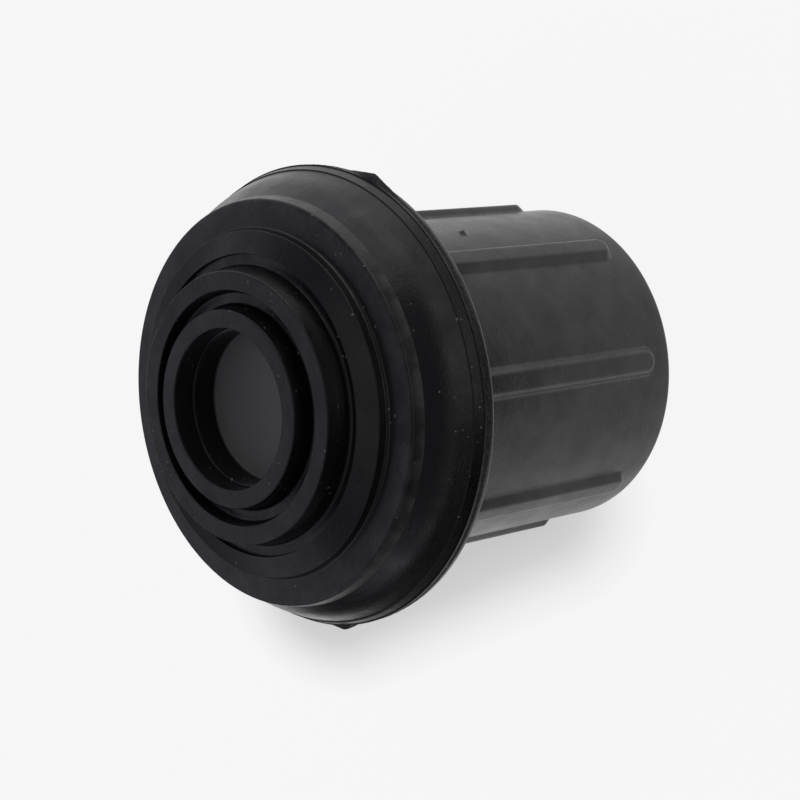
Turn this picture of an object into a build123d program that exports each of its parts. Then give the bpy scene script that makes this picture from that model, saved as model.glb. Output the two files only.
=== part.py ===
"""Rubber ferrule: a one-piece moulded foot that is pushed over the end of a round tube.

The part stands on its mouth with the tread up. Its axis is Z, and the origin is the centre
of the mouth's end face. All sizes are in millimetres.
"""

import os
from math import atan2, cos, radians, sin, tan

from build123d import *

# Bore: the blind round hole that takes the tube
bore_diameter = 22.0
bore_depth = 31.0
bore_floor_radius = 1.2

# Sleeve: the wall round the bore, a little thicker towards the flange
sleeve_wall = 4.65
sleeve_swell = 0.1
mouth_edge_radius = 0.55

# Ribs along the outside of the sleeve: one of them strays from the even pitch, as in the photo
rib_angles_deg = (0.0, 45.0, 90.0, 135.0, 180.0, 221.5, 270.0, 315.0)
rib_width = 2.9
rib_height = 0.72
rib_setback = 2.8
rib_draft_deg = 40.0
rib_edge_radius = 0.35
rib_root_depth = 0.4

# Flange: heights and outward runs, from its back upwards to the tread's rounded edge
moulding_line_height = 32.4
flange_back_drop = 1.0
flange_back_edge_radius = 0.4
cove_radius = 4.2
band_height = 0.9
band_run = 0.3
band_step = 0.12
shoulder_height = 3.75
shoulder_run = 2.27
tread_wall_height = 1.4
tread_wall_run = 0.07
tread_edge_radius = 0.45

# Flash: a trimmed face round the rim, with two tags that were left on it
flash_height = 0.75
flash_reach = 0.1
tag_overlap = 0.5
first_tag_angle_deg = -26.5
first_tag_reach = 0.65
first_tag_lead = 4.15
first_tag_trail = 4.4
first_tag_tip_share = 0.04
second_tag_angle_deg = 181.8
second_tag_reach = 0.5
second_tag_lead = 3.2
second_tag_trail = 3.2
second_tag_tip_share = 0.1

# Tread: three raised rings, each higher than the one outside it, round a stepped recess
recess_radius = 6.95
recess_ledge_width = 0.3
recess_ledge_radius = 0.18
recess_depth = 4.75
recess_ledge_depth = 2.25
recess_floor_radius = 0.15
inner_ring_width = 1.65
inner_ring_step = 0.77
inner_groove_width = 1.2
inner_groove_depth = 1.33
middle_ring_width = 1.7
middle_ring_step = 1.98
outer_groove_width = 1.0
outer_groove_depth = 0.45
outer_ring_width = 2.05
outer_ring_crown = 0.8
outer_ring_step = 0.95
land_width = 2.15
land_crown = 0.17
ring_draft_deg = 8.0
ring_edge_radius = 0.12
groove_foot_radius = 0.35

# Radii of the tread's walls, from the middle outwards
wall_slope = tan(radians(ring_draft_deg))
upper_recess_radius = recess_radius + recess_ledge_width
inner_ring_edge = upper_recess_radius + inner_ring_width
inner_ring_foot = inner_ring_edge + (inner_groove_depth + inner_ring_step) * wall_slope
middle_ring_inner_foot = inner_ring_foot + inner_groove_width
middle_ring_inner_edge = middle_ring_inner_foot + inner_groove_depth * wall_slope
middle_ring_edge = middle_ring_inner_edge + middle_ring_width
middle_ring_foot = middle_ring_edge + (outer_groove_depth + middle_ring_step) * wall_slope
outer_ring_inner_foot = middle_ring_foot + outer_groove_width
outer_ring_inner_edge = outer_ring_inner_foot + outer_groove_depth * wall_slope
outer_ring_edge = outer_ring_inner_edge + outer_ring_width
outer_ring_foot = outer_ring_edge + outer_ring_step * wall_slope

# Radii of the flange and the sleeve
tread_radius = outer_ring_foot + land_width + tread_edge_radius
shoulder_top_radius = tread_radius + tread_wall_run
shoulder_foot_radius = shoulder_top_radius + shoulder_run
band_top_radius = shoulder_foot_radius + band_step
band_foot_radius = band_top_radius + band_run
flash_radius = band_foot_radius + flash_reach
bore_radius = bore_diameter / 2
mouth_radius = bore_radius + sleeve_wall

# Heights above the mouth
flange_back_height = moulding_line_height - flange_back_drop
flash_top_height = moulding_line_height + flash_height
band_top_height = flash_top_height + band_height
shoulder_top_height = band_top_height + shoulder_height
tread_edge_height = shoulder_top_height + tread_wall_height
land_top_height = tread_edge_height + land_crown
outer_ring_edge_height = land_top_height + outer_ring_step
outer_ring_top_height = outer_ring_edge_height + outer_ring_crown
outer_groove_height = outer_ring_top_height - outer_groove_depth
middle_ring_height = outer_ring_top_height + middle_ring_step
inner_groove_height = middle_ring_height - inner_groove_depth
inner_ring_height = middle_ring_height + inner_ring_step
recess_ledge_height = inner_ring_height - recess_ledge_depth
recess_floor_height = inner_ring_height - recess_depth

# The cove behind the flange fills its overhang, but no more than that
root_radius = mouth_radius + sleeve_swell
cove_limit_share = 0.92
fitted_cove_radius = min(cove_radius, cove_limit_share * (band_foot_radius - root_radius))

# Half section, as corners (radius, height) with the rounding of each one
half_section = [
    ((0, recess_floor_height), 0),
    ((recess_radius, recess_floor_height), recess_floor_radius),
    ((recess_radius, recess_ledge_height), 0),
    ((upper_recess_radius, recess_ledge_height), recess_ledge_radius),
    ((upper_recess_radius, inner_ring_height), ring_edge_radius),
    ((inner_ring_edge, inner_ring_height), ring_edge_radius),
    ((inner_ring_foot, inner_groove_height), groove_foot_radius),
    ((middle_ring_inner_foot, inner_groove_height), groove_foot_radius),
    ((middle_ring_inner_edge, middle_ring_height), ring_edge_radius),
    ((middle_ring_edge, middle_ring_height), ring_edge_radius),
    ((middle_ring_foot, outer_groove_height), groove_foot_radius),
    ((outer_ring_inner_foot, outer_groove_height), 0),
    ((outer_ring_inner_edge, outer_ring_top_height), 0),
    ((outer_ring_edge, outer_ring_edge_height), ring_edge_radius),
    ((outer_ring_foot, land_top_height), groove_foot_radius),
    ((tread_radius, tread_edge_height), tread_edge_radius),
    ((shoulder_top_radius, shoulder_top_height), 0),
    ((shoulder_foot_radius, band_top_height), 0),
    ((band_top_radius, band_top_height), 0),
    ((band_foot_radius, flash_top_height), 0),
    ((flash_radius, flash_top_height), 0),
    ((flash_radius, moulding_line_height), 0),
    ((band_foot_radius, moulding_line_height), 0),
    ((band_foot_radius, flange_back_height), flange_back_edge_radius),
    ((root_radius, flange_back_height), fitted_cove_radius),
    ((mouth_radius, 0), mouth_edge_radius),
    ((bore_radius, 0), 0),
    ((bore_radius, bore_depth), bore_floor_radius),
    ((0, bore_depth), 0),
]
corners = [corner for corner, rounding in half_section]
roundings = [rounding for corner, rounding in half_section]

# One rib, drawn on the sleeve's slightly tilted outside on the +X side
tilt = atan2(sleeve_swell, flange_back_height)
rib_normal = (cos(tilt), 0, -sin(tilt))
rib_plane = Plane(
    origin=(mouth_radius - rib_root_depth, 0, 0), x_dir=(0, 1, 0), z_dir=rib_normal
)
rib_flare = rib_root_depth * tan(radians(rib_draft_deg))
rib_outline_width = rib_width + rib_flare + rib_flare
rib_outline_start = rib_setback - rib_flare
rib_outline_length = moulding_line_height - rib_outline_start

with BuildPart() as rib:
    with BuildSketch(rib_plane):
        with Locations((0, rib_outline_start + rib_outline_length / 2)):
            SlotOverall(rib_outline_length, rib_outline_width, rotation=90)
    extrude(amount=rib_root_depth + rib_height, taper=rib_draft_deg)
    crest = rib.faces().sort_by(Axis((0, 0, 0), rib_normal))[-1]
    fillet(crest.edges(), radius=rib_edge_radius)

# Each tag of flash: its place round the rim, how far its tip stands off its root, and the
# lengths of its two slopes at the root and at the tip
first_tip = tag_overlap + first_tag_reach
second_tip = tag_overlap + second_tag_reach
tags = (
    (first_tag_angle_deg, first_tip, first_tag_lead, first_tag_trail, first_tag_tip_share),
    (second_tag_angle_deg, second_tip, second_tag_lead, second_tag_trail, second_tag_tip_share),
)

# The whole moulding: the turned body, its ribs and the tags of flash
with BuildPart() as ferrule:
    with BuildSketch(Plane.XZ):
        with BuildLine():
            FilletPolyline(*corners, radius=roundings, close=True)
        make_face()
    revolve(axis=Axis.Z)
    for rib_angle in rib_angles_deg:
        with PolarLocations(0, 1, start_angle=rib_angle):
            add(rib.part)
    with BuildSketch(Plane.XY.offset(moulding_line_height)):
        for tag_angle, tip, lead, trail, tip_share in tags:
            with PolarLocations(flash_radius - tag_overlap, 1, start_angle=tag_angle):
                Polygon(
                    (0, -trail),
                    (tip, -tip_share * trail),
                    (tip, tip_share * lead),
                    (0, lead),
                    align=None,
                )
    extrude(amount=flash_height)

ferrule.part.label = "ferrule"

os.makedirs("parts", exist_ok=True)
export_step(ferrule.part, "parts/ferrule.step")
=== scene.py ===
"""Looks of a moulded rubber ferrule: its body with ribs and flash, its rubber, and a plain stage.

The file is laid out as an add-on and run as a script. All lengths are in metres, in the frame
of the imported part: the ferrule stands on its mouth, its axis is Z and its tread is on top.
"""

import math
from typing import NamedTuple

import bpy
from mathutils import Matrix, Vector


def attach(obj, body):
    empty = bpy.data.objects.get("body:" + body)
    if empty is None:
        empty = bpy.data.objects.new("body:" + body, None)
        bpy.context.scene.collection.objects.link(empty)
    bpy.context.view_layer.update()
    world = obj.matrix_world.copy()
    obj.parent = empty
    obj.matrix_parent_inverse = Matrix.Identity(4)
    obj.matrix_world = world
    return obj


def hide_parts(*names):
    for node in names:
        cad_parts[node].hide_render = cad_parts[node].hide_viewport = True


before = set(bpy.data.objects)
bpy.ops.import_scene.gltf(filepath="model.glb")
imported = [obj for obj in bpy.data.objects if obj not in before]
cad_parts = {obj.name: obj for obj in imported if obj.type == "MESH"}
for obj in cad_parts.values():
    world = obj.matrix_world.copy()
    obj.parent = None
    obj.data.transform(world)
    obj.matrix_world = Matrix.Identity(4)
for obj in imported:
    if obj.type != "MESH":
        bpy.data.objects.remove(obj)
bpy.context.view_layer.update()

bl_info = {
    "name": "Rubber ferrule",
    "version": (1, 0, 0),
    "blender": (4, 5, 0),
    "location": "3D View > Sidebar > Ferrule",
    "description": "Builds a ribbed rubber ferrule with a ringed tread, and a plain stage for it",
    "category": "Object",
}

MM = 0.001
NODE = "ferrule"

# Fineness of the mesh: stations round one turn, how far they crowd together at the ribs, the least
# rounding, the gap that is closed, and the bend past which an edge stays crisp
TURNS = 544
CROWDING = 0.5
SMALL = 0.05 * MM
CLOSED_GAP = 0.002 * MM
CRISP_BEND = math.radians(40.0)

# How the nodes of a tree are spread out
NODES_IN_ROW = 14
NODE_STEP = (200.0, -260.0)

# Shares of the half section: roundings, and how far and how thick the dust lies
LEDGE_ROUNDING_SHARE = 0.6
BULGE_ROUNDING_SHARE = 0.11
DUST_CLIMB_SHARE = 2.5
EDGE_SCUFFS_SHARE = 0.09
CREASE_DUST_SHARE = 0.25

# How far each row down the flash follows its tears and tags: its top slopes where a tag stands out
FLASH_SHARES = (0.05, 0.4, 0.8, 1.0, 1.0, 1.0)

# Rows down the sleeve: on its plain length, where the ribs end, and to each side of the nib
PLAIN_ROWS = 9
RIB_END_ROWS = 26
NIB_ROWS = 3
RIB_END_TOP_SHARE = 1.2
RIB_END_FOOT_SHARE = 0.6
NIB_ROW_SHARE = 0.4

# The rib that strays: the stretch over which its turn fades out, as a share of the pitch, and how
# many such stretches its zone reaches to each side
STRAY_FADE_SHARE = 0.25
STRAY_ZONE = 2.2

# Tears of the flash: repeats to the rim's radius, how ragged they are, the level that is the trimmed
# face, and how much deeper the rest goes
TEAR_REPEATS = 24.0
TEAR_DETAIL = 6.0
TEAR_RAGGEDNESS = 0.8
TEAR_LEVEL = 0.7
TEAR_GAIN = 2.0

# Each tag of flash: how blunt its tip is, and how far its slopes bow inwards
TAGS = (("First", 1.04, 0.38), ("Second", 1.11, 0.0))

# Patterns in the rubber, in repeats per metre
BLOOM_SCALE = 330.0
SCUFF_SCALE = 620.0
DRIFT_SCALE = 120.0
CROOK_SCALE = 5000.0
FINE_SPECK_SCALE = 1700.0
LARGE_SPECK_SCALE = 560.0
CRUMB_SCALE = 2300.0
GRAIN_SCALE = 5200.0
PEEL_SCALE = 1300.0

# How far the specks wander out of round, and the relief of the grain, the peel and the tears
CROOK_REACH = 0.2 * MM
GRAIN_DEPTH = 0.08 * MM
PEEL_RELIEF = 1.4
TEAR_RELIEF = 6.0

# Strength of the film where it is even and of the larger specks, and what dulls the rubber's shine
EVEN_FILM = 0.75
LARGE_SPECK_STRENGTH = 0.8
DUST_ROUGHENING = 0.4
DUST_DULLING = -0.7
SLEEVE_DULLING = -0.14

# The camera: its place and its own axes, on its side so that the tread faces left as in the photograph
CAMERA_PLACE = (0.01162, -0.14957, 0.17017)
VIEW_RIGHT = (-0.0896, -0.7046, -0.7040)
VIEW_BACK = (0.0622, -0.7094, 0.7021)
SENSOR_WIDTH = 36.0

# The key light: its place, the point it faces, and its side
KEY_PLACE = (0.386, -0.118, 0.133)
KEY_AIM = (0.0, 0.0, 0.024)
KEY_SIDE = 0.32

# The floor's half side, and the painted shade that all but the camera see on it: places in metres with their
# levels
FLOOR_HALF = 3.0
FRONT_TONES = ((-0.32, 1.0), (-0.21, 0.9), (-0.165, 0.02), (-0.047, 0.02), (-0.034, 1.0))
SIDE_TONES = ((0.085, 0.0), (0.14, 0.6))
FAR_TONES = ((0.145, 1.0), (0.2, 0.15))
FAR_SLANT = -0.5
LOW_TONES = ((-0.078, 0.06), (-0.06, 1.0))

# The painted shadow: a soft shadow painted on the floor as a strip along a line, squeezed in Y, and its
# tones away from that line
PAINTED_SHADOW_SQUEEZE = (1.0, 0.7, 0.0)
PAINTED_SHADOW_START = (-0.0252, 0.0256, 0.0)
PAINTED_SHADOW_RUN = (0.0108, -0.0215, 0.0)
PAINTED_SHADOW_TONES = ((0.0028, 0.62), (0.0058, 0.69), (0.007, 0.76), (0.0083, 0.84), (0.01, 0.93), (0.0125, 1.0))

# The studio's levels, from straight beyond the object at 0 to straight behind the camera at 1, all
# turned a little aside
STUDIO_TURN = -0.12
STUDIO_FAR = (0.15, (0.1, 0.1, 0.103))
STUDIO_LEVELS = ((0.30, 0.1), (0.40, 0.5), (0.50, 0.58), (0.55, 0.45), (0.61, 0.1))
STUDIO_TINT = (1.0, 0.975, 1.13)
STUDIO_DARK_PLACE = 0.72

# Glows in the studio: the Z of a ray's direction where each begins and where it is full, and its
# level. The one at the horizon is on the camera's side, which leans and fades out
HORIZON_GLOW = (0.2, 0.0, 0.62)
OVERHEAD_GLOW = (0.8, 0.98, 0.24)
CAMERA_SIDE_LEAN = -0.8
CAMERA_SIDE_FADE = 0.45


def length(name, millimetres, description):
    """A length that is written in millimetres and kept in metres."""
    return bpy.props.FloatProperty(
        name=name,
        description=description,
        default=millimetres * MM,
        min=0.0,
        precision=5,
        unit="LENGTH",
    )


def angle(name, degrees, description):
    """An angle that is written in degrees and kept in radians."""
    return bpy.props.FloatProperty(
        name=name,
        description=description,
        default=math.radians(degrees),
        unit="ROTATION",
    )


def share(name, default, description):
    """A plain number from 0 to 1."""
    return bpy.props.FloatProperty(
        name=name, description=description, default=default, min=0.0, max=1.0
    )


def colour(name, default, description):
    """A linear colour."""
    return bpy.props.FloatVectorProperty(
        name=name,
        description=description,
        default=default,
        size=3,
        min=0.0,
        max=1.0,
        subtype="COLOR",
    )


class SleeveSizes(bpy.types.PropertyGroup):
    """The sleeve, its bore and its ribs."""

    bore_radius: length("Bore radius", 11.0, "Radius of the blind hole for the tube")
    bore_depth: length("Bore depth", 31.0, "From the mouth to the bottom of the bore")
    bore_floor_rounding: length("Bore floor rounding", 1.2, "Rounding round the bottom of the bore")
    wall: length("Wall", 4.65, "Thickness of the sleeve at its mouth")
    swell: length("Swell", 0.1, "How much thicker the sleeve is at the flange")
    mouth_rounding: length("Mouth rounding", 0.55, "Rounding of the mouth's outer edge")
    rib_count: bpy.props.IntProperty(name="Ribs", description="Ribs round the sleeve", default=8, min=1)
    rib_width: length("Rib width", 2.9, "Width of a rib at its foot")
    rib_height: length("Rib height", 0.72, "How far a rib stands off the sleeve")
    rib_setback: length("Rib setback", 2.8, "From the mouth to the rounded end of a rib")
    rib_draft: angle("Rib draft", 40.0, "Lean of a rib's flanks")
    rib_crest: length("Rib crest", 0.34, "Rounding along the top of a rib")
    rib_root: length("Rib root", 0.12, "Rounding along the foot of a rib")
    stray_rib: angle("Stray rib", -135.0, "Even place of the rib that strays from the pitch")
    stray_turn: angle("Stray turn", -3.5, "How far that rib strays round the sleeve")
    nib_turn: angle("Nib turn", -28.3, "Place of a small nib round the sleeve")
    nib_place: length("Nib place", 19.3, "Height of the nib above the mouth")
    nib_radius: length("Nib radius", 0.42, "Radius of the nib")
    nib_rise: length("Nib rise", 0.3, "How far the nib stands off the sleeve")


class FlangeSizes(bpy.types.PropertyGroup):
    """The flange, from its cove behind to the round edge of the tread, and its flash."""

    moulding_line: length("Moulding line", 32.4, "Height of the line where the mould's halves met")
    back_drop: length("Back drop", 0.75, "From the moulding line down to the back of the flange")
    back_rounding: length("Back rounding", 0.4, "Rounding of the flange's back edge")
    cove: length("Cove", 4.2, "Radius of the cove between sleeve and flange")
    flash_height: length("Flash height", 0.75, "Height of the trimmed flash round the rim")
    flash_reach: length("Flash reach", 0.1, "How far the trimmed flash stands off the band")
    flash_tear: length("Flash tear", 0.09, "Depth of the tears in the trimmed flash")
    band_height: length("Band height", 0.9, "Height of the rim's band above the flash")
    band_run: length("Band run", 0.3, "How far the band leans out")
    band_step: length("Band step", 0.12, "How far the band stands off the shoulder")
    shoulder_height: length("Shoulder height", 3.87, "Height of the shoulder")
    shoulder_run: length("Shoulder run", 2.06, "How far the shoulder leans out")
    shoulder_bulge: length("Shoulder bulge", 0.24, "How far its middle stands out of a straight line")
    wall_height: length("Wall height", 1.28, "Height of the wall between shoulder and tread")
    wall_run: length("Wall run", 0.28, "How far that wall leans out")
    tread_rounding: length("Tread rounding", 0.4, "Rounding of the tread's outer edge")
    tag_lead_1: length("First tag lead", 3.37, "Length of the first tag's slope on its left")
    tag_trail_1: length("First tag trail", 3.8, "Length of the first tag's slope on its right")
    tag_reach_1: length("First tag reach", 0.65, "How far the first tag stands out of the rim")
    tag_lead_2: length("Second tag lead", 2.0, "Length of the second tag's slope on its left")
    tag_trail_2: length("Second tag trail", 2.0, "Length of the second tag's slope on its right")
    tag_reach_2: length("Second tag reach", 0.5, "How far the second tag stands out of the rim")
    first_tag: angle("First tag", -26.5, "Place of the first tag round the rim")
    second_tag: angle("Second tag", 181.8, "Place of the second tag round the rim")
    flash_seed: bpy.props.FloatProperty(
        name="Flash seed", description="Picks the flash's ragged line", default=4.0
    )


class TreadSizes(bpy.types.PropertyGroup):
    """Three raised rings, each higher than the one outside it, round a stepped recess."""

    recess_radius: length("Recess radius", 6.95, "Radius of the recess below its ledge")
    ledge_width: length("Ledge width", 0.3, "Width of the ledge in the recess")
    recess_depth: length("Recess depth", 4.75, "From the inner ring down to the recess's floor")
    ledge_depth: length("Ledge depth", 2.25, "From the inner ring down to the ledge")
    recess_rounding: length("Recess rounding", 0.15, "Rounding round the recess's floor")
    inner_ring_width: length("Inner ring width", 1.65, "Width of the inner ring's top")
    inner_ring_step: length("Inner ring step", 0.77, "Inner ring above the middle ring")
    inner_groove_width: length("Inner groove width", 1.2, "Width of the inner groove's floor")
    inner_groove_depth: length("Inner groove depth", 1.33, "Inner groove below the middle ring")
    middle_ring_width: length("Middle ring width", 1.7, "Width of the middle ring's top")
    middle_ring_step: length("Middle ring step", 1.98, "Middle ring above the outer ring")
    outer_groove_width: length("Outer groove width", 1.0, "Width of the outer groove's floor")
    outer_groove_depth: length("Outer groove depth", 0.45, "Outer groove below the outer ring")
    outer_ring_width: length("Outer ring width", 2.05, "Width of the outer ring's sloping top")
    outer_ring_crown: length("Outer ring crown", 0.8, "Rise of the outer ring's sloping top")
    outer_ring_step: length("Outer ring step", 0.95, "Outer ring above the land")
    land_width: length("Land width", 2.2, "Width of the land round the rings")
    land_crown: length("Land crown", 0.17, "Rise of the land")
    wall_draft: angle("Wall draft", 8.0, "Lean of the rings' walls")
    ring_rounding: length("Ring rounding", 0.12, "Rounding of the rings' edges")
    groove_rounding: length("Groove rounding", 0.35, "Rounding at the foot of the rings")


class RubberLook(bpy.types.PropertyGroup):
    """The black rubber and the dust on it."""

    rubber: colour("Rubber", (0.0045, 0.0044, 0.0056), "Colour of the rubber")
    bloom: colour("Bloom", (0.0095, 0.0092, 0.0108), "Colour of the rubber where it has a grey bloom")
    dust: colour("Dust", (0.36, 0.35, 0.34), "Colour of the specks of dust")
    settled: colour("Settled dust", (0.32, 0.318, 0.318), "Colour of the dust that has settled")
    roughness: share("Roughness", 0.29, "Roughness of clean rubber")
    grain: share("Grain", 0.16, "Strength of the fine moulded grain")


class StageLook(bpy.types.PropertyGroup):
    """Floor, lights and camera."""

    floor: colour("Floor", (0.88, 0.88, 0.88), "Colour of the floor")
    floor_white: share("Floor white", 0.9, "Share of the floor's tone that shines by itself")
    dark_side: colour("Dark side", (0.12, 0.12, 0.135), "Colour of the studio behind the camera")
    key_power: bpy.props.FloatProperty(
        name="Key power", description="Power of the key light", default=0.22, min=0.0, unit="POWER"
    )
    lens: bpy.props.FloatProperty(
        name="Lens", description="Focal length for a 36 mm sensor", default=99.0, min=1.0
    )


def put(tree, kind, values=(), **settings):
    """Adds a node, sets its settings, and gives each input a value or a link."""
    node = tree.nodes.new(kind)
    row, column = divmod(len(tree.nodes), NODES_IN_ROW)
    node.location = (NODE_STEP[0] * column, NODE_STEP[1] * row)
    for key, value in settings.items():
        setattr(node, key, value)
    for key, value in dict(values).items():
        if isinstance(value, bpy.types.NodeSocket):
            tree.links.new(value, node.inputs[key])
        else:
            node.inputs[key].default_value = value
    return node


def calc(tree, operation, *values):
    """A Math node's result."""
    return put(tree, "ShaderNodeMath", enumerate(values), operation=operation).outputs[0]


def named(tree, name):
    """A number that was stored on the points under this name."""
    return put(tree, "GeometryNodeInputNamedAttribute", {"Name": name}, data_type="FLOAT").outputs[0]


def store(tree, geometry, name, value):
    """Stores a number on the points under this name."""
    values = {"Geometry": geometry, "Name": name, "Value": value}
    kept = put(tree, "GeometryNodeStoreNamedAttribute", values, data_type="FLOAT", domain="POINT")
    return kept.outputs[0]


def new_tree(name, inputs):
    """A geometry tree with named inputs, and those inputs' sockets by name."""
    tree = bpy.data.node_groups.new(name, "GeometryNodeTree")
    tree.is_modifier = True
    tree.interface.new_socket("Geometry", in_out="INPUT", socket_type="NodeSocketGeometry")
    for label, kind in inputs:
        tree.interface.new_socket(label, in_out="INPUT", socket_type=kind)
    tree.interface.new_socket("Geometry", in_out="OUTPUT", socket_type="NodeSocketGeometry")
    start = put(tree, "NodeGroupInput")
    return tree, {socket.name: socket for socket in start.outputs if socket.name}


def end_tree(tree, geometry, material):
    """Ends a tree in plain meshes with their material, in millimetres."""
    scale = (1.0 / MM, 1.0 / MM, 1.0 / MM)
    scaled = put(tree, "GeometryNodeTransform", {"Geometry": geometry, "Scale": scale}).outputs[0]
    real = put(tree, "GeometryNodeRealizeInstances", {"Geometry": scaled}).outputs[0]
    painted = put(tree, "GeometryNodeSetMaterial", {"Geometry": real, "Material": material}).outputs[0]
    put(tree, "NodeGroupOutput", {"Geometry": painted})


def grow(name, start_mesh, tree, values):
    """Runs a tree on a mesh and keeps the result as a plain mesh object at the origin."""
    grower = bpy.data.objects.new(name + "_start", start_mesh)
    bpy.context.scene.collection.objects.link(grower)
    modifier = grower.modifiers.new("grow", "NODES")
    modifier.node_group = tree
    for item in tree.interface.items_tree:
        if item.in_out == "INPUT" and item.name in values:
            modifier[item.identifier] = values[item.name]
    # Large faces stay flat up to their edges, and the small roundings between them take the bend.
    # The modifier passes over areas as small as these in metres, so the tree gives millimetres
    evener = grower.modifiers.new("even_normals", "WEIGHTED_NORMAL")
    evener.keep_sharp = True
    seen = grower.evaluated_get(bpy.context.evaluated_depsgraph_get())
    mesh = bpy.data.meshes.new_from_object(seen)
    mesh.transform(Matrix.Scale(MM, 4))
    mesh.name = name
    grower.modifiers.clear()
    bpy.data.objects.remove(grower)
    bpy.data.meshes.remove(start_mesh)
    if not mesh.polygons:
        raise RuntimeError(name + " came out empty")
    piece = bpy.data.objects.new(name, mesh)
    bpy.context.scene.collection.objects.link(piece)
    return piece


class Corner(NamedTuple):
    """A corner of the half section, with what the tree and the rubber need to know there."""

    radius: float
    height: float
    rounding: float = 0.0
    steps: int = 1
    on_sleeve: float = 0.0
    on_flash: float = 0.0
    settled: float = 0.0


def sleeve_rows(sleeve, back):
    """Heights of the rows down the sleeve, close together where the ribs end and at the nib."""
    top = sleeve.rib_setback + RIB_END_TOP_SHARE * sleeve.rib_width
    foot = RIB_END_FOOT_SHARE * sleeve.rib_setback
    plain = [back * row / PLAIN_ROWS for row in range(2, PLAIN_ROWS - 1)]
    heights = [height for height in plain if height > top]
    heights += [foot + (top - foot) * row / RIB_END_ROWS for row in range(RIB_END_ROWS + 1)]
    nib_step = NIB_ROW_SHARE * sleeve.nib_radius
    heights += [sleeve.nib_place + nib_step * row for row in range(-NIB_ROWS, NIB_ROWS + 1)]
    return sorted(heights, reverse=True)


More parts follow.
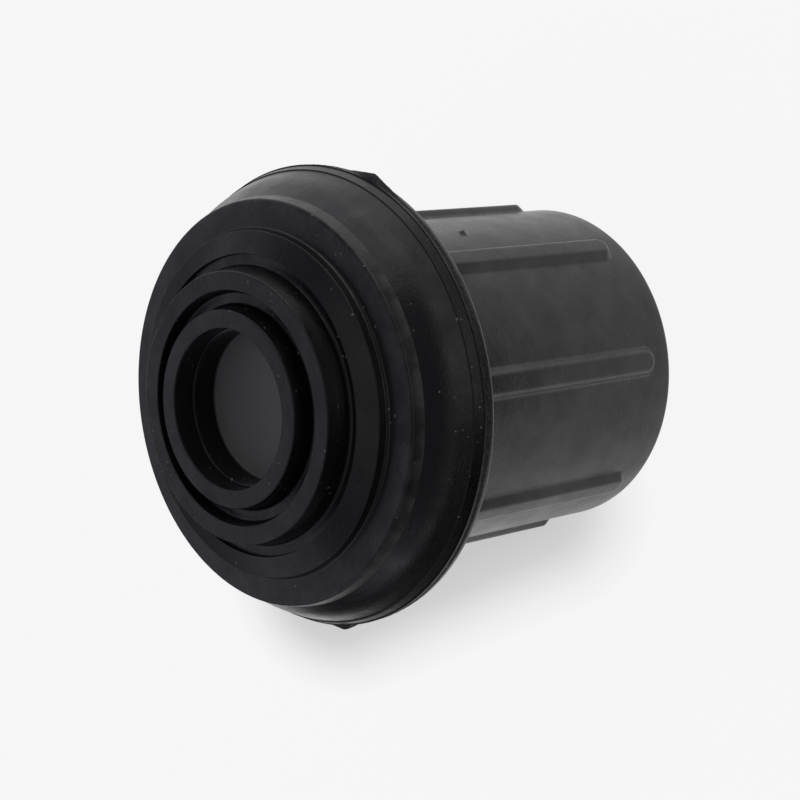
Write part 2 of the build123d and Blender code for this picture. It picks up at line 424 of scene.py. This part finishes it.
def half_section(sleeve, flange, tread):
    """Corners of the half section, from the middle of the tread round to the bottom of the bore."""
    slope = math.tan(tread.wall_draft)
    upper_recess = tread.recess_radius + tread.ledge_width
    inner_edge = upper_recess + tread.inner_ring_width
    inner_foot = inner_edge + (tread.inner_groove_depth + tread.inner_ring_step) * slope
    middle_inner_foot = inner_foot + tread.inner_groove_width
    middle_inner_edge = middle_inner_foot + tread.inner_groove_depth * slope
    middle_edge = middle_inner_edge + tread.middle_ring_width
    middle_foot = middle_edge + (tread.outer_groove_depth + tread.middle_ring_step) * slope
    outer_inner_foot = middle_foot + tread.outer_groove_width
    outer_inner_edge = outer_inner_foot + tread.outer_groove_depth * slope
    outer_edge = outer_inner_edge + tread.outer_ring_width
    outer_foot = outer_edge + tread.outer_ring_step * slope
    boss = outer_foot + tread.land_width + flange.tread_rounding
    wall_foot = boss + flange.wall_run
    shoulder_foot = wall_foot + flange.shoulder_run
    band_top = shoulder_foot + flange.band_step
    band_foot = band_top + flange.band_run
    flash_edge = band_foot + flange.flash_reach
    mouth = sleeve.bore_radius + sleeve.wall
    root = mouth + sleeve.swell

    line = flange.moulding_line
    back = line - flange.back_drop
    flash_high = line + flange.flash_height
    band_high = flash_high + flange.band_height
    wall_low = band_high + flange.shoulder_height
    boss_high = wall_low + flange.wall_height
    land_high = boss_high + tread.land_crown
    outer_low = land_high + tread.outer_ring_step
    outer_high = outer_low + tread.outer_ring_crown
    outer_groove = outer_high - tread.outer_groove_depth
    middle_high = outer_high + tread.middle_ring_step
    inner_groove = middle_high - tread.inner_groove_depth
    inner_high = middle_high + tread.inner_ring_step
    ledge = inner_high - tread.ledge_depth
    recess_floor = inner_high - tread.recess_depth

    # The middle of the shoulder, pushed out square to its straight line
    shoulder_length = math.hypot(flange.shoulder_run, flange.shoulder_height)
    bulge = flange.shoulder_bulge / shoulder_length
    bulge_radius = 0.5 * (wall_foot + shoulder_foot) + bulge * flange.shoulder_height
    bulge_height = 0.5 * (wall_low + band_high) + bulge * flange.shoulder_run
    bulge_rounding = BULGE_ROUNDING_SHARE * shoulder_length / bulge

    ring = tread.ring_rounding
    groove = tread.groove_rounding
    dust_high = recess_floor + DUST_CLIMB_SHARE * tread.recess_rounding
    corners = [
        Corner(0.0, recess_floor, settled=1.0),
        Corner(tread.recess_radius, recess_floor, tread.recess_rounding, steps=5, settled=1.0),
        Corner(tread.recess_radius, dust_high),
        Corner(tread.recess_radius, ledge, SMALL, steps=2),
        Corner(upper_recess, ledge, LEDGE_ROUNDING_SHARE * tread.ledge_width, steps=3),
        Corner(upper_recess, inner_high, ring, steps=4),
        Corner(inner_edge, inner_high, ring, steps=4),
        Corner(inner_foot, inner_groove, groove, steps=4),
        Corner(middle_inner_foot, inner_groove, groove, steps=4),
        Corner(middle_inner_edge, middle_high, ring, steps=4),
        Corner(middle_edge, middle_high, ring, steps=4),
        Corner(middle_foot, outer_groove, groove, steps=4),
        Corner(outer_inner_foot, outer_groove, SMALL, steps=2),
        Corner(outer_inner_edge, outer_high, SMALL, steps=2),
        Corner(outer_edge, outer_low, ring, steps=4),
        Corner(outer_foot, land_high, groove, steps=4),
        Corner(boss, boss_high, flange.tread_rounding, steps=10, settled=EDGE_SCUFFS_SHARE),
        Corner(wall_foot, wall_low, settled=CREASE_DUST_SHARE),
        Corner(wall_foot + SMALL, wall_low - SMALL),
        Corner(bulge_radius, bulge_height, bulge_rounding, steps=8),
        Corner(shoulder_foot, band_high, SMALL, steps=2),
        Corner(band_top, band_high, SMALL, steps=2),
        Corner(band_foot, flash_high),
    ]
    # Rows down the trimmed flash, so that it can be torn
    for row, torn in enumerate(FLASH_SHARES):
        down = flange.flash_height * row / (len(FLASH_SHARES) - 1)
        corners.append(Corner(flash_edge, flash_high - down, on_flash=torn))
    corners += [
        Corner(band_foot, line),
        Corner(band_foot, back, flange.back_rounding, steps=4),
        Corner(root, back, flange.cove, steps=16, on_sleeve=1.0),
    ]
    for height in sleeve_rows(sleeve, back):
        corners.append(Corner(mouth + sleeve.swell * height / back, height, on_sleeve=1.0))
    corners += [
        Corner(mouth, 0.0, sleeve.mouth_rounding, steps=5),
        Corner(sleeve.bore_radius, 0.0, SMALL, steps=2),
        Corner(sleeve.bore_radius, sleeve.bore_depth, sleeve.bore_floor_rounding, steps=5),
        Corner(0.0, sleeve.bore_depth),
    ]
    return corners


def section_mesh(corners):
    """The half section as a chain of edges, with what is known at each corner."""
    mesh = bpy.data.meshes.new("half_section")
    points = [(corner.radius, 0.0, corner.height) for corner in corners]
    mesh.from_pydata(points, [(i, i + 1) for i in range(len(points) - 1)], [])
    for name in ("rounding", "steps", "on_sleeve", "on_flash", "settled"):
        kind = "INT" if name == "steps" else "FLOAT"
        layer = mesh.attributes.new(name, kind, "POINT")
        layer.data.foreach_set("value", [getattr(corner, name) for corner in corners])
    return mesh


def turn_from(tree, turn, start):
    """The turn from a place round the axis to another, the shorter way."""
    return calc(tree, "WRAP", calc(tree, "SUBTRACT", turn, start), math.pi, -math.pi)


def noise(tree, place, scale, detail, roughness=0.5):
    """A cloudy pattern, as a number."""
    values = {"Vector": place, "Scale": scale, "Detail": detail, "Roughness": roughness}
    return put(tree, "ShaderNodeTexNoise", values).outputs[0]


def moulding_tree():
    """Turns the half section round Z, raises the ribs on the sleeve and tears the flash."""
    number = "NodeSocketFloat"
    tree, given = new_tree(
        "ferrule_moulding",
        [
            ("Turns", "NodeSocketInt"),
            ("Crowding", number),
            ("Rib count", "NodeSocketInt"),
            ("Rib width", number),
            ("Rib height", number),
            ("Rib setback", number),
            ("Rib flank", number),
            ("Rib crest", number),
            ("Rib root", number),
            ("Stray rib", number),
            ("Stray turn", number),
            ("Nib turn", number),
            ("Nib place", number),
            ("Nib radius", number),
            ("Nib rise", number),
            ("Mouth radius", number),
            ("Sleeve slope", number),
            ("Rim radius", number),
            ("Flash tear", number),
            ("Flash seed", number),
            ("First tag", number),
            ("First lead", number),
            ("First trail", number),
            ("First reach", number),
            ("Second tag", number),
            ("Second lead", number),
            ("Second trail", number),
            ("Second reach", number),
            ("Rubber", "NodeSocketMaterial"),
        ],
    )

    # The half section, with its corners rounded
    chain = put(tree, "GeometryNodeMeshToCurve", {"Mesh": given["Geometry"]}).outputs[0]
    steps = put(tree, "GeometryNodeInputNamedAttribute", {"Name": "steps"}, data_type="INT").outputs[0]
    rounded = put(
        tree,
        "GeometryNodeFilletCurve",
        {"Curve": chain, "Count": steps, "Radius": named(tree, "rounding"), "Limit Radius": True},
        mode="POLY",
    ).outputs[0]
    place = put(tree, "GeometryNodeInputPosition").outputs[0]
    parts = put(tree, "ShaderNodeSeparateXYZ", {"Vector": place})
    rounded = store(tree, rounded, "section_radius", parts.outputs["X"])
    rounded = store(tree, rounded, "section_height", parts.outputs["Z"])

    # One turn, with its stations crowded together at the ribs
    circle = put(
        tree,
        "GeometryNodeCurvePrimitiveCircle",
        {"Resolution": given["Turns"], "Radius": given["Rim radius"]},
        mode="RADIUS",
    ).outputs["Curve"]
    index = put(tree, "GeometryNodeInputIndex").outputs[0]
    even = calc(tree, "MULTIPLY", calc(tree, "DIVIDE", index, given["Turns"]), math.tau)
    wave = calc(tree, "SINE", calc(tree, "MULTIPLY", even, given["Rib count"]))
    pull = calc(tree, "DIVIDE", calc(tree, "MULTIPLY", wave, given["Crowding"]), given["Rib count"])
    circle = store(tree, circle, "turn", calc(tree, "SUBTRACT", even, pull))
    skin = put(tree, "GeometryNodeCurveToMesh", {"Curve": circle, "Profile Curve": rounded}).outputs[0]

    turn = named(tree, "turn")
    radius = named(tree, "section_radius")
    height = named(tree, "section_height")

    # Ribs: a flat-topped ridge with leaning flanks and a round end towards the mouth
    pitch = calc(tree, "DIVIDE", math.tau, given["Rib count"])
    half_pitch = calc(tree, "MULTIPLY", pitch, 0.5)
    off_stray = turn_from(tree, turn, given["Stray rib"])
    fade = calc(tree, "MULTIPLY", pitch, STRAY_FADE_SHARE)
    farness = calc(tree, "DIVIDE", calc(tree, "ABSOLUTE", off_stray), fade)
    nearness = calc(tree, "SUBTRACT", STRAY_ZONE, farness)
    stray_share = calc(tree, "MINIMUM", calc(tree, "MAXIMUM", nearness, 0.0), 1.0)
    evened = calc(tree, "SUBTRACT", turn, calc(tree, "MULTIPLY", stray_share, given["Stray turn"]))
    swing = calc(tree, "WRAP", evened, half_pitch, calc(tree, "MULTIPLY", half_pitch, -1.0))
    sleeve_line = calc(tree, "MULTIPLY_ADD", height, given["Sleeve slope"], given["Mouth radius"])
    aside = calc(tree, "MULTIPLY", swing, sleeve_line)
    half_width = calc(tree, "MULTIPLY", given["Rib width"], 0.5)
    end_centre = calc(tree, "ADD", given["Rib setback"], half_width)
    beyond = calc(tree, "MINIMUM", calc(tree, "SUBTRACT", height, end_centre), 0.0)
    squares = calc(tree, "MULTIPLY_ADD", aside, aside, calc(tree, "MULTIPLY", beyond, beyond))
    inside = calc(tree, "SUBTRACT", half_width, calc(tree, "SQRT", squares))
    flank = calc(tree, "DIVIDE", inside, given["Rib flank"])
    crest = calc(tree, "SMOOTH_MIN", flank, given["Rib height"], given["Rib crest"])
    ridge = calc(tree, "SMOOTH_MAX", crest, 0.0, given["Rib root"])
    ribbed = calc(tree, "MAXIMUM", radius, calc(tree, "ADD", sleeve_line, ridge))

    # A small nib that was left on the sleeve
    off_nib = calc(tree, "MULTIPLY", turn_from(tree, turn, given["Nib turn"]), sleeve_line)
    nib_aside = calc(tree, "DIVIDE", off_nib, given["Nib radius"])
    over_nib = calc(tree, "SUBTRACT", height, given["Nib place"])
    nib_above = calc(tree, "DIVIDE", over_nib, given["Nib radius"])
    nib_tall = calc(tree, "MULTIPLY", nib_above, nib_above)
    nib_squares = calc(tree, "MULTIPLY_ADD", nib_aside, nib_aside, nib_tall)
    nib_dome = calc(tree, "MAXIMUM", calc(tree, "SUBTRACT", 1.0, nib_squares), 0.0)
    ribbed = calc(tree, "MULTIPLY_ADD", nib_dome, given["Nib rise"], ribbed)
    gain = calc(tree, "MULTIPLY", named(tree, "on_sleeve"), calc(tree, "SUBTRACT", ribbed, radius))
    radius = calc(tree, "ADD", radius, gain)

    # Flash: a torn face round the rim, with two tags that were left on it
    across = calc(tree, "COSINE", turn)
    along = calc(tree, "SINE", turn)
    high = calc(tree, "DIVIDE", height, given["Rim radius"])
    lifted = calc(tree, "ADD", high, given["Flash seed"])
    round_rim = put(tree, "ShaderNodeCombineXYZ", {"X": across, "Y": along, "Z": lifted}).outputs[0]
    tears = noise(tree, round_rim, TEAR_REPEATS, TEAR_DETAIL, TEAR_RAGGEDNESS)
    depth = calc(tree, "MULTIPLY", calc(tree, "SUBTRACT", tears, TEAR_LEVEL), given["Flash tear"])
    reach = calc(tree, "MULTIPLY", depth, TEAR_GAIN)
    for which, blunt, bow in TAGS:
        away = calc(tree, "MULTIPLY", turn_from(tree, turn, given[which + " tag"]), given["Rim radius"])
        ahead = calc(tree, "DIVIDE", away, given[which + " lead"])
        behind = calc(tree, "DIVIDE", away, calc(tree, "MULTIPLY", given[which + " trail"], -1.0))
        fall = calc(tree, "SUBTRACT", 1.0, calc(tree, "MAXIMUM", ahead, behind))
        blunted = calc(tree, "MULTIPLY", fall, blunt)
        peak = calc(tree, "MINIMUM", calc(tree, "MAXIMUM", blunted, 0.0), 1.0)
        bowed = calc(tree, "MULTIPLY", peak, calc(tree, "MULTIPLY_ADD", peak, bow, 1.0 - bow))
        reach = calc(tree, "MULTIPLY_ADD", bowed, given[which + " reach"], reach)
    radius = calc(tree, "MULTIPLY_ADD", named(tree, "on_flash"), reach, radius)

    place_x = calc(tree, "MULTIPLY", radius, across)
    place_y = calc(tree, "MULTIPLY", radius, along)
    spot = put(tree, "ShaderNodeCombineXYZ", {"X": place_x, "Y": place_y, "Z": height}).outputs[0]
    moved = put(tree, "GeometryNodeSetPosition", {"Geometry": skin, "Position": spot}).outputs[0]
    closed = put(tree, "GeometryNodeMergeByDistance", {"Geometry": moved, "Distance": CLOSED_GAP}).outputs[0]
    smooth = put(tree, "GeometryNodeSetShadeSmooth", {"Geometry": closed, "Shade Smooth": True}).outputs[0]
    bend = put(tree, "GeometryNodeInputMeshEdgeAngle").outputs["Unsigned Angle"]
    values = {"A": bend, "B": CRISP_BEND}
    crisp = put(tree, "FunctionNodeCompare", values, data_type="FLOAT", operation="GREATER_THAN").outputs[0]
    values = {"Geometry": smooth, "Selection": crisp, "Shade Smooth": False}
    smooth = put(tree, "GeometryNodeSetShadeSmooth", values, domain="EDGE").outputs[0]
    for name in ("rounding", "steps", "section_radius", "section_height", "turn"):
        smooth = put(tree, "GeometryNodeRemoveAttribute", {"Geometry": smooth, "Name": name}).outputs[0]
    end_tree(tree, smooth, given["Rubber"])
    return tree


def rescale(tree, value, low, high, start=0.0, stop=1.0):
    """A number moved from one range to another, and kept inside it."""
    values = {"Value": value, "From Min": low, "From Max": high, "To Min": start, "To Max": stop}
    return put(tree, "ShaderNodeMapRange", values).outputs[0]


def blend(tree, amount, first, second, way="MIX"):
    """A mix of two colours."""
    values = {0: amount, 6: first, 7: second}
    return put(tree, "ShaderNodeMix", values, data_type="RGBA", blend_type=way).outputs[2]


def vector_calc(tree, operation, *values):
    """A Vector Math node's outputs."""
    return put(tree, "ShaderNodeVectorMath", enumerate(values), operation=operation).outputs


def specks(tree, place, scale, chance, size):
    """Small specks, one to a cell and only in some cells."""
    cells = put(tree, "ShaderNodeTexVoronoi", {"Vector": place, "Scale": scale})
    luck = put(tree, "ShaderNodeSeparateColor", {"Color": cells.outputs["Color"]}).outputs[0]
    reach = rescale(tree, luck, 1.0 - chance, 1.0, 0.0, size)
    return calc(tree, "LESS_THAN", cells.outputs["Distance"], reach)


def dust_specks(tree, place):
    """Dust: many small crooked specks in loose clusters, and a few larger ones."""
    values = {"Vector": place, "Scale": CROOK_SCALE, "Detail": 1.0}
    wander = put(tree, "ShaderNodeTexNoise", values).outputs["Color"]
    reach = (CROOK_REACH, CROOK_REACH, CROOK_REACH)
    crooked = vector_calc(tree, "MULTIPLY_ADD", wander, reach, place)["Vector"]
    drifts = noise(tree, place, DRIFT_SCALE, detail=2.0)
    thickness = rescale(tree, drifts, low=0.44, high=0.62, start=0.06, stop=0.7)
    fine = specks(tree, crooked, FINE_SPECK_SCALE, chance=0.4, size=0.2)
    fine = calc(tree, "MULTIPLY", fine, thickness)
    large = specks(tree, crooked, LARGE_SPECK_SCALE, chance=0.26, size=0.075)
    large = calc(tree, "MULTIPLY", large, LARGE_SPECK_STRENGTH)
    return calc(tree, "MAXIMUM", fine, large)


def rubber_material(look):
    """Black rubber with a mottled bloom, a fine grain, specks of dust, worn edges and a torn trim."""
    material = bpy.data.materials.new("black_rubber")
    material.use_nodes = True
    tree = material.node_tree
    tree.nodes.clear()
    place = put(tree, "ShaderNodeTexCoord").outputs["Object"]
    sheltered = put(tree, "ShaderNodeAttribute", attribute_name="settled").outputs["Fac"]
    torn = put(tree, "ShaderNodeAttribute", attribute_name="on_flash").outputs["Fac"]
    handled = put(tree, "ShaderNodeAttribute", attribute_name="on_sleeve").outputs["Fac"]

    # Bloom: soft grey blotches
    clouds = noise(tree, place, BLOOM_SCALE, detail=6.0, roughness=0.62)
    blotch = rescale(tree, clouds, low=0.36, high=0.66)
    body = blend(tree, blotch, (*look.rubber, 1.0), (*look.bloom, 1.0))

    # Dust that has settled where nothing rubs it off, and pale scuffs along the tread's edge
    scuffs = noise(tree, place, SCUFF_SCALE, detail=4.0)
    patchy = rescale(tree, scuffs, low=0.4, high=0.64, start=0.4, stop=1.5)
    values = {0: sheltered, 2: patchy, 3: EVEN_FILM}
    evened = put(tree, "ShaderNodeMix", values, data_type="FLOAT").outputs[0]
    film = calc(tree, "MULTIPLY", sheltered, evened)
    body = blend(tree, film, body, (*look.settled, 1.0))

    # The trimmed flash is torn: rough, with crumbs that catch the light
    tears = noise(tree, place, CRUMB_SCALE, detail=4.0, roughness=0.75)
    crumbs = calc(tree, "MULTIPLY", torn, rescale(tree, tears, low=0.44, high=0.66, start=0.09, stop=0.3))
    speck = calc(tree, "MAXIMUM", dust_specks(tree, place), crumbs)
    dusty = blend(tree, speck, body, (*look.dust, 1.0))

    # Dust and tears are dull, the bloom makes the shine less even, and the sleeve shines a little less
    even = look.roughness
    gloss = rescale(tree, clouds, low=0.3, high=0.7, start=even - 0.04, stop=even + 0.06)
    dull = calc(tree, "MAXIMUM", calc(tree, "MAXIMUM", film, torn), speck)
    rough = calc(tree, "MULTIPLY_ADD", dull, DUST_ROUGHENING, gloss)
    shine = rescale(tree, clouds, low=0.3, high=0.7, start=0.56, stop=0.38)
    shine = calc(tree, "MULTIPLY", shine, calc(tree, "MULTIPLY_ADD", dull, DUST_DULLING, 1.0))
    shine = calc(tree, "MULTIPLY", shine, calc(tree, "MULTIPLY_ADD", handled, SLEEVE_DULLING, 1.0))

    # Grain: what the mould's surface left, and the relief of the tears
    grain = noise(tree, place, GRAIN_SCALE, detail=2.0)
    peel = noise(tree, place, PEEL_SCALE, detail=2.0)
    relief = calc(tree, "MULTIPLY_ADD", peel, PEEL_RELIEF, grain)
    relief = calc(tree, "MULTIPLY_ADD", calc(tree, "MULTIPLY", torn, tears), TEAR_RELIEF, relief)
    values = {"Strength": look.grain, "Distance": GRAIN_DEPTH, "Height": relief}
    bump = put(tree, "ShaderNodeBump", values).outputs[0]

    values = {"Base Color": dusty, "Roughness": rough, "Normal": bump, "Specular IOR Level": shine}
    shader = put(tree, "ShaderNodeBsdfPrincipled", values).outputs[0]
    put(tree, "ShaderNodeOutputMaterial", {"Surface": shader})
    return material


class FERRULE_OT_mould_body(bpy.types.Operator):
    """Moulds the ferrule's body, with its ringed tread, flange, flash, ribs and bore"""

    bl_idname = "ferrule.mould_body"
    bl_label = "Mould the ferrule's body"

    def execute(self, context):
        scene = context.scene
        sleeve = scene.ferrule_sleeve
        flange = scene.ferrule_flange
        corners = half_section(sleeve, flange, scene.ferrule_tread)
        rim = max(corner.radius for corner in corners)
        values = {
            "Turns": TURNS,
            "Crowding": CROWDING,
            "Rib count": sleeve.rib_count,
            "Rib width": sleeve.rib_width,
            "Rib height": sleeve.rib_height,
            "Rib setback": sleeve.rib_setback,
            "Rib flank": math.tan(sleeve.rib_draft),
            "Rib crest": sleeve.rib_crest,
            "Rib root": sleeve.rib_root,
            "Stray rib": sleeve.stray_rib,
            "Stray turn": sleeve.stray_turn,
            "Nib turn": sleeve.nib_turn,
            "Nib place": sleeve.nib_place,
            "Nib radius": sleeve.nib_radius,
            "Nib rise": sleeve.nib_rise,
            "Mouth radius": sleeve.bore_radius + sleeve.wall,
            "Sleeve slope": sleeve.swell / (flange.moulding_line - flange.back_drop),
            "Rim radius": rim,
            "Flash tear": flange.flash_tear,
            "Flash seed": flange.flash_seed,
            "First tag": flange.first_tag,
            "First lead": flange.tag_lead_1,
            "First trail": flange.tag_trail_1,
            "First reach": flange.tag_reach_1,
            "Second tag": flange.second_tag,
            "Second lead": flange.tag_lead_2,
            "Second trail": flange.tag_trail_2,
            "Second reach": flange.tag_reach_2,
            "Rubber": rubber_material(scene.ferrule_rubber),
        }
        body = grow("ferrule_body", section_mesh(corners), moulding_tree(), values)
        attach(body, "root")
        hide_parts(NODE)
        return {"FINISHED"}


def softbox(name, place, aim, side, power):
    """A square area light that faces a point."""
    light = bpy.data.lights.new(name, "AREA")
    light.shape = "SQUARE"
    light.size = side
    light.energy = power
    lamp = bpy.data.objects.new(name, light)
    turned = (Vector(aim) - Vector(place)).to_track_quat("-Z", "Y")
    lamp.matrix_world = Matrix.Translation(place) @ turned.to_matrix().to_4x4()
    return lamp


def seen_share(tree):
    """1 for rays that show the background: those of the camera, of reflections and of glass."""
    path = put(tree, "ShaderNodeLightPath")
    seen = calc(tree, "MAXIMUM", path.outputs["Is Camera Ray"], path.outputs["Is Glossy Ray"])
    return calc(tree, "MAXIMUM", seen, path.outputs["Is Transmission Ray"])


def paint_ramp(ramp, stops):
    """Gives a colour ramp its stops, which are positions in rising order with their colours."""
    elements = ramp.color_ramp.elements
    for index, (position, tone) in enumerate(stops):
        element = elements[index] if index < 2 else elements.new(1.0)
        element.position = position
        element.color = (*tone, 1.0)


def tone_along(tree, position, stops):
    """A grey tone that changes along one direction, through places in metres with their levels."""
    start = stops[0][0]
    span = stops[-1][0] - start
    along = calc(tree, "DIVIDE", calc(tree, "SUBTRACT", position, start), span)
    ramp = put(tree, "ShaderNodeValToRGB", {"Fac": along})
    paint_ramp(ramp, [((place - start) / span, (level, level, level)) for place, level in stops])
    return ramp.outputs["Color"]


def painted_soft_shadow(tree, place):
    """A painted shadow beside the object: a strip painted on the floor that is paler outwards."""
    run = Vector(PAINTED_SHADOW_RUN)
    squeezed = vector_calc(tree, "MULTIPLY", place, PAINTED_SHADOW_SQUEEZE)["Vector"]
    offset = vector_calc(tree, "SUBTRACT", squeezed, PAINTED_SHADOW_START)["Vector"]
    along = vector_calc(tree, "DOT_PRODUCT", offset, run / run.length_squared)["Value"]
    values = {0: run, "Scale": rescale(tree, along, 0.0, 1.0)}
    nearest = put(tree, "ShaderNodeVectorMath", values, operation="SCALE").outputs["Vector"]
    gap = vector_calc(tree, "DISTANCE", offset, nearest)["Value"]
    return tone_along(tree, gap, PAINTED_SHADOW_TONES)


def floor_paper(look):
    """Paper that is white to the camera with a painted soft shadow, and that to all else is partly darkened
    by painted shade.
    """
    paper = bpy.data.materials.new("floor_paper")
    paper.use_nodes = True
    tree = paper.node_tree
    tree.nodes.clear()
    place = put(tree, "ShaderNodeTexCoord").outputs["Object"]
    spot = put(tree, "ShaderNodeSeparateXYZ", {"Vector": place}).outputs

    # To all but the camera it is white beside the object, with painted shade in front of it, far off and
    # towards the foot of the picture, which shows in the rubber's reflections and in the light the floor
    # throws back
    front = tone_along(tree, spot["Y"], FRONT_TONES)
    side = tone_along(tree, spot["X"], SIDE_TONES)
    aslant = calc(tree, "MULTIPLY_ADD", spot["X"], FAR_SLANT, spot["Y"])
    far = tone_along(tree, aslant, FAR_TONES)
    below = tone_along(tree, spot["X"], LOW_TONES)
    # A soft shadow painted on the floor beside the object, not cast by any lamp
    painted_shadow = painted_soft_shadow(tree, place)
    painted_floor_shade = blend(tree, 1.0, front, side, "LIGHTEN")
    for other in (far, below, painted_shadow):
        painted_floor_shade = blend(tree, 1.0, painted_floor_shade, other, "MULTIPLY")
    tone = blend(tree, 1.0, painted_floor_shade, (*look.floor, 1.0), "MULTIPLY")
    matt = put(tree, "ShaderNodeBsdfDiffuse", {"Color": tone}).outputs[0]

    # To the camera it is white all round, with the painted shadow on it
    direct = put(tree, "ShaderNodeLightPath").outputs["Is Camera Ray"]
    bright = blend(tree, direct, painted_floor_shade, painted_shadow)
    white = put(tree, "ShaderNodeEmission", {"Color": bright, "Strength": 1.0}).outputs[0]
    shown = calc(tree, "MULTIPLY", seen_share(tree), look.floor_white)
    mixed = put(tree, "ShaderNodeMixShader", {0: shown, 1: matt, 2: white}).outputs[0]
    put(tree, "ShaderNodeOutputMaterial", {"Surface": mixed})
    return paper


def plain_floor(look):
    """A wide floor under the object."""
    half = FLOOR_HALF
    corners = [(-half, -half, 0.0), (half, -half, 0.0), (half, half, 0.0), (-half, half, 0.0)]
    mesh = bpy.data.meshes.new("floor")
    mesh.from_pydata(corners, [], [(0, 1, 2, 3)])
    mesh.materials.append(floor_paper(look))
    return bpy.data.objects.new("floor", mesh)


def background(tree, tone, strength):
    """A Background node's light."""
    return put(tree, "ShaderNodeBackground", {"Color": tone, "Strength": strength}).outputs[0]


def studio_world(look):
    """A studio that is pale round the object and darker beyond it and behind the camera."""
    world = bpy.data.worlds.new("studio")
    world.use_nodes = True
    tree = world.node_tree
    tree.nodes.clear()
    way = put(tree, "ShaderNodeTexCoord").outputs["Generated"]
    toward = Vector(VIEW_BACK) + STUDIO_TURN * Vector(VIEW_RIGHT)
    facing = vector_calc(tree, "DOT_PRODUCT", way, toward)["Value"]
    ramp = put(tree, "ShaderNodeValToRGB", {"Fac": calc(tree, "MULTIPLY_ADD", facing, 0.5, 0.5)})
    levels = [(place, [level * tint for tint in STUDIO_TINT]) for place, level in STUDIO_LEVELS]
    paint_ramp(ramp, [STUDIO_FAR, *levels, (STUDIO_DARK_PLACE, look.dark_side)])
    sky = background(tree, ramp.outputs["Color"], 1.0)

    # Two paler places: round the horizon on the camera's side, and overhead
    axes = put(tree, "ShaderNodeSeparateXYZ", {"Vector": way}).outputs
    plus_x = calc(tree, "MAXIMUM", axes["X"], 0.0)
    leaning = calc(tree, "MULTIPLY_ADD", plus_x, CAMERA_SIDE_LEAN, axes["Y"])
    camera_side = rescale(tree, leaning, CAMERA_SIDE_FADE, 0.0)
    for (begin, full, level), side in ((HORIZON_GLOW, camera_side), (OVERHEAD_GLOW, 1.0)):
        values = {"Value": axes["Z"], "From Min": begin, "From Max": full, "To Min": 0.0, "To Max": level}
        glow = put(tree, "ShaderNodeMapRange", values, interpolation_type="SMOOTHSTEP").outputs[0]
        patch = background(tree, (1.0, 1.0, 1.0, 1.0), calc(tree, "MULTIPLY", glow, side))
        sky = put(tree, "ShaderNodeAddShader", {0: sky, 1: patch}).outputs[0]

    # The camera itself sees a backdrop as pale as the floor
    direct = put(tree, "ShaderNodeLightPath").outputs["Is Camera Ray"]
    backdrop = background(tree, (*look.floor, 1.0), 1.0)
    sky = put(tree, "ShaderNodeMixShader", {0: direct, 1: sky, 2: backdrop}).outputs[0]
    put(tree, "ShaderNodeOutputWorld", {"Surface": sky})
    return world


def photo_camera(look):
    """A camera at the photograph's viewing angle."""
    camera_data = bpy.data.cameras.new("camera")
    camera_data.sensor_width = SENSOR_WIDTH
    camera_data.lens = look.lens
    camera = bpy.data.objects.new("camera", camera_data)
    right = Vector(VIEW_RIGHT).normalized()
    back = Vector(VIEW_BACK).normalized()
    up = back.cross(right).normalized()
    turned = Matrix((up.cross(back), up, back)).transposed().to_4x4()
    camera.matrix_world = Matrix.Translation(CAMERA_PLACE) @ turned
    return camera


class FERRULE_OT_set_stage(bpy.types.Operator):
    """Sets a pale floor, soft light and the camera"""

    bl_idname = "ferrule.set_stage"
    bl_label = "Set the stage"

    def execute(self, context):
        scene = context.scene
        look = scene.ferrule_stage
        floor = plain_floor(look)
        key_light = softbox("key_light", KEY_PLACE, KEY_AIM, KEY_SIDE, look.key_power)
        camera = photo_camera(look)
        for item in (floor, key_light, camera):
            scene.collection.objects.link(item)
        scene.world = studio_world(look)
        scene.camera = camera
        scene.view_settings.view_transform = "Standard"
        return {"FINISHED"}


class FERRULE_PT_panel(bpy.types.Panel):
    """Lists the steps that build the ferrule and its stage"""

    bl_idname = "FERRULE_PT_panel"
    bl_label = "Ferrule"
    bl_space_type = "VIEW_3D"
    bl_region_type = "UI"
    bl_category = "Ferrule"

    def draw(self, context):
        layout = self.layout
        scene = context.scene
        for operator in (FERRULE_OT_mould_body, FERRULE_OT_set_stage):
            layout.operator(operator.bl_idname)
        for name in SETTINGS:
            group = getattr(scene, name)
            box = layout.box()
            box.label(text=group.bl_rna.name)
            for key in group.__annotations__:
                box.prop(group, key)


SETTINGS = {
    "ferrule_sleeve": SleeveSizes,
    "ferrule_flange": FlangeSizes,
    "ferrule_tread": TreadSizes,
    "ferrule_rubber": RubberLook,
    "ferrule_stage": StageLook,
}
CLASSES = (*SETTINGS.values(), FERRULE_OT_mould_body, FERRULE_OT_set_stage, FERRULE_PT_panel)


def register():
    for entry in CLASSES:
        bpy.utils.register_class(entry)
    for name, group in SETTINGS.items():
        setattr(bpy.types.Scene, name, bpy.props.PointerProperty(type=group))


def unregister():
    for name in SETTINGS:
        delattr(bpy.types.Scene, name)
    for entry in reversed(CLASSES):
        bpy.utils.unregister_class(entry)


def main():
    register()
    bpy.ops.ferrule.mould_body()
    bpy.ops.ferrule.set_stage()


if __name__ == "__main__":
    main()
